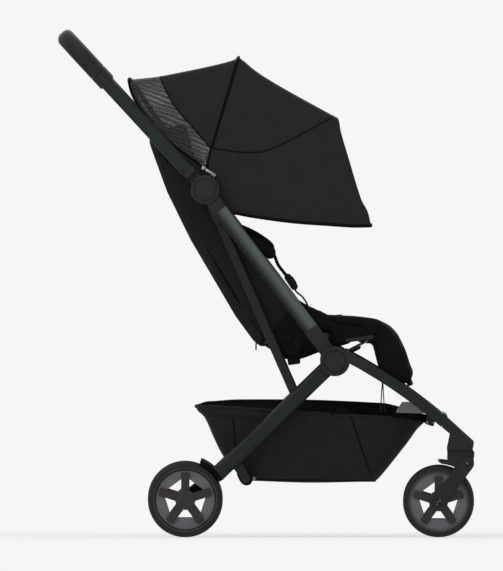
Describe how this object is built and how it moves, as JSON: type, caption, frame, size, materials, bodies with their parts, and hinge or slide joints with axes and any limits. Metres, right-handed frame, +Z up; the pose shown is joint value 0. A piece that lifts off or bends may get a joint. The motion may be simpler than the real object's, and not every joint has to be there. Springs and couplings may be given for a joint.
{
  "type": "folding baby stroller",
  "caption": "Compact four-wheeled folding baby stroller with reclining bucket seat, extending canopy, under-seat basket and swivel front wheels.",
  "frame": {"origin": "on the floor, at the centre of the stroller's outline seen from above", "axes": "+X the way the child faces and the stroller is pushed, +Y to the stroller's left, +Z up"},
  "size_m": [0.8661, 0.449, 1.0529],
  "materials": {
    "frame_tube": "satin anodised, dark green-grey",
    "dark_plastic": "fine moulded texture",
    "tyre_foam": "matt foam rubber",
    "rim_grey": "satin grey",
    "hub_black": "satin black",
    "steel": "plain",
    "bow_plastic": "smooth",
    "canopy_fabric": "plain weave",
    "seat_fabric": "plain weave, padded",
    "webbing": "woven strap",
    "basket_fabric": "plain weave",
    "leatherette": "grained, stitched"
  },
  "bodies": {
    "rear_frame": {"rear_leg_tubes": "frame_tube", "rear_leg_sleeves": "dark_plastic", "rear_bow": "frame_tube", "rear_wheel_brackets": "dark_plastic", "rear_axles": "steel", "brake_pin": "steel", "lower_hub_pins": "steel", "link_rivets": "steel", "basket": "basket_fabric"},
    "brake": {"brake_pedal": "dark_plastic"},
    "front_legs": {"front_leg_tubes": "frame_tube", "front_leg_knuckles": "dark_plastic", "front_cross_tube": "frame_tube", "footrest": "dark_plastic", "caster_housings": "dark_plastic"},
    "seat_frame": {"upright_tubes": "frame_tube", "upright_sleeves": "dark_plastic", "canopy_hubs": "dark_plastic", "upper_hub_pins": "steel", "seat_rods": "steel", "seat_base": "seat_fabric", "calf_hinge_rod": "steel", "buckle": "dark_plastic", "crotch_strap": "webbing", "canopy_rear_bow": "bow_plastic", "canopy_rear_panel": "canopy_fabric"},
    "backrest": {"backrest": "seat_fabric", "shoulder_straps": "webbing"},
    "calf_rest": {"calf_rest": "seat_fabric"},
    "handle": {"handle_knuckles": "dark_plastic", "handle_tubes": "frame_tube", "handle_collars": "dark_plastic", "handlebar_core": "steel", "handlebar_grip": "leatherette"},
    "fold_button": {"fold_button": "dark_plastic"},
    "buckle_button": {"buckle_button": "dark_plastic"},
    "links": {"fold_links": "frame_tube"},
    "canopy_middle": {"canopy_middle_bow": "bow_plastic", "canopy_middle_panel": "canopy_fabric"},
    "canopy_front": {"canopy_front_bow": "bow_plastic", "canopy_visor_bow": "bow_plastic", "canopy_visor_panel": "canopy_fabric"},
    "caster_right": {"caster_block_right": "dark_plastic"},
    "fork_right": {"caster_fork_right": "dark_plastic", "front_axle_right": "steel"},
    "front_wheel_right": {"front_wheel_tyre_right": "tyre_foam", "front_wheel_rim_right": "rim_grey", "front_wheel_hub_right": "hub_black"},
    "rear_wheel_right": {"rear_wheel_tyre_right": "tyre_foam", "rear_wheel_rim_right": "rim_grey", "rear_wheel_hub_right": "hub_black"},
    "caster_left": {"caster_block_left": "dark_plastic"},
    "fork_left": {"caster_fork_left": "dark_plastic", "front_axle_left": "steel"},
    "front_wheel_left": {"front_wheel_tyre_left": "tyre_foam", "front_wheel_rim_left": "rim_grey", "front_wheel_hub_left": "hub_black"},
    "rear_wheel_left": {"rear_wheel_tyre_left": "tyre_foam", "rear_wheel_rim_left": "rim_grey", "rear_wheel_hub_left": "hub_black"}
  },
  "joints": [
    {"name": "frame_fold", "type": "hinge", "parent": "rear_frame", "child": "seat_frame", "pos_m": [0.1425, 0, 0.366], "axis": [0, -1, 0], "range_deg": [0, 70], "deforming": ["basket"]},
    {"name": "handle_fold", "type": "hinge", "parent": "seat_frame", "child": "handle", "pos_m": [-0.1273, 0, 0.723], "axis": [0, 1, 0], "range_deg": [0, 139.75]},
    {"name": "link_swing", "type": "hinge", "parent": "rear_frame", "child": "links", "pos_m": [0.0628, 0, 0.28903], "axis": [0, -1, 0], "range_deg": [0, 81.13]},
    {"name": "front_leg_fold", "type": "hinge", "parent": "rear_frame", "child": "front_legs", "pos_m": [0.1425, 0, 0.366], "axis": [0, 1, 0], "range_deg": [0, 56.5]},
    {"name": "backrest_recline", "type": "hinge", "parent": "seat_frame", "child": "backrest", "pos_m": [-0.001, 0, 0.405], "axis": [0, 1, 0], "range_deg": [-30, 0]},
    {"name": "calf_rest_lift", "type": "hinge", "parent": "seat_frame", "child": "calf_rest", "pos_m": [0.2184, 0, 0.416], "axis": [0, 1, 0], "range_deg": [-50, 0]},
    {"name": "canopy_fold", "type": "hinge", "parent": "seat_frame", "child": "canopy_middle", "pos_m": [-0.1273, 0, 0.723], "axis": [0, -1, 0], "range_deg": [0, 43], "deforming": ["canopy_rear_panel", "canopy_middle_panel"]},
    {"name": "canopy_front_fold", "type": "hinge", "parent": "canopy_middle", "child": "canopy_front", "pos_m": [-0.1273, 0, 0.723], "axis": [0, -1, 0], "range_deg": [0, 43.5]},
    {"name": "brake_pedal_turn", "type": "hinge", "parent": "rear_frame", "child": "brake", "pos_m": [-0.125, 0.163, 0.113], "axis": [0, -1, 0], "range_deg": [0, 20]},
    {"name": "fold_button_press", "type": "slide", "parent": "handle", "child": "fold_button", "axis": [0, 1, 0], "range_m": [0, 0.0015], "stiffness_N_per_m": 400},
    {"name": "buckle_button_press", "type": "slide", "parent": "seat_frame", "child": "buckle_button", "axis": [-0.8279, 0, -0.5608], "range_m": [0, 0.002], "stiffness_N_per_m": 400},
    {"name": "caster_swivel_right", "type": "hinge", "parent": "front_legs", "child": "caster_right", "pos_m": [0.4025, -0.203, 0.182], "axis": [0, 0, 1], "continuous": true},
    {"name": "caster_spring_right", "type": "hinge", "parent": "caster_right", "child": "fork_right", "pos_m": [0.4175, -0.203, 0.153], "axis": [0, 1, 0], "range_deg": [0, 4], "stiffness_Nm_per_rad": 60, "springref_deg": -2.86},
    {"name": "front_wheel_spin_right", "type": "hinge", "parent": "fork_right", "child": "front_wheel_right", "pos_m": [0.358, -0.203, 0.074], "axis": [0, 1, 0], "continuous": true},
    {"name": "rear_wheel_spin_right", "type": "hinge", "parent": "rear_frame", "child": "rear_wheel_right", "pos_m": [-0.1687, -0.206, 0.078], "axis": [0, 1, 0], "continuous": true},
    {"name": "caster_swivel_left", "type": "hinge", "parent": "front_legs", "child": "caster_left", "pos_m": [0.4025, 0.203, 0.182], "axis": [0, 0, 1], "continuous": true},
    {"name": "caster_spring_left", "type": "hinge", "parent": "caster_left", "child": "fork_left", "pos_m": [0.4175, 0.203, 0.153], "axis": [0, 1, 0], "range_deg": [0, 4], "stiffness_Nm_per_rad": 60, "springref_deg": -2.86},
    {"name": "front_wheel_spin_left", "type": "hinge", "parent": "fork_left", "child": "front_wheel_left", "pos_m": [0.358, 0.203, 0.074], "axis": [0, 1, 0], "continuous": true},
    {"name": "rear_wheel_spin_left", "type": "hinge", "parent": "rear_frame", "child": "rear_wheel_left", "pos_m": [-0.1687, 0.206, 0.078], "axis": [0, 1, 0], "continuous": true}
  ],
  "couplings": [
    {"joint": "handle_fold", "follows": "frame_fold", "ratio": 1.9893},
    {"joint": "link_swing", "follows": "frame_fold", "ratio": 1.1519},
    {"joint": "front_leg_fold", "follows": "frame_fold", "ratio": 0.8},
    {"joint": "canopy_front_fold", "follows": "canopy_fold", "ratio": 1}
  ]
}
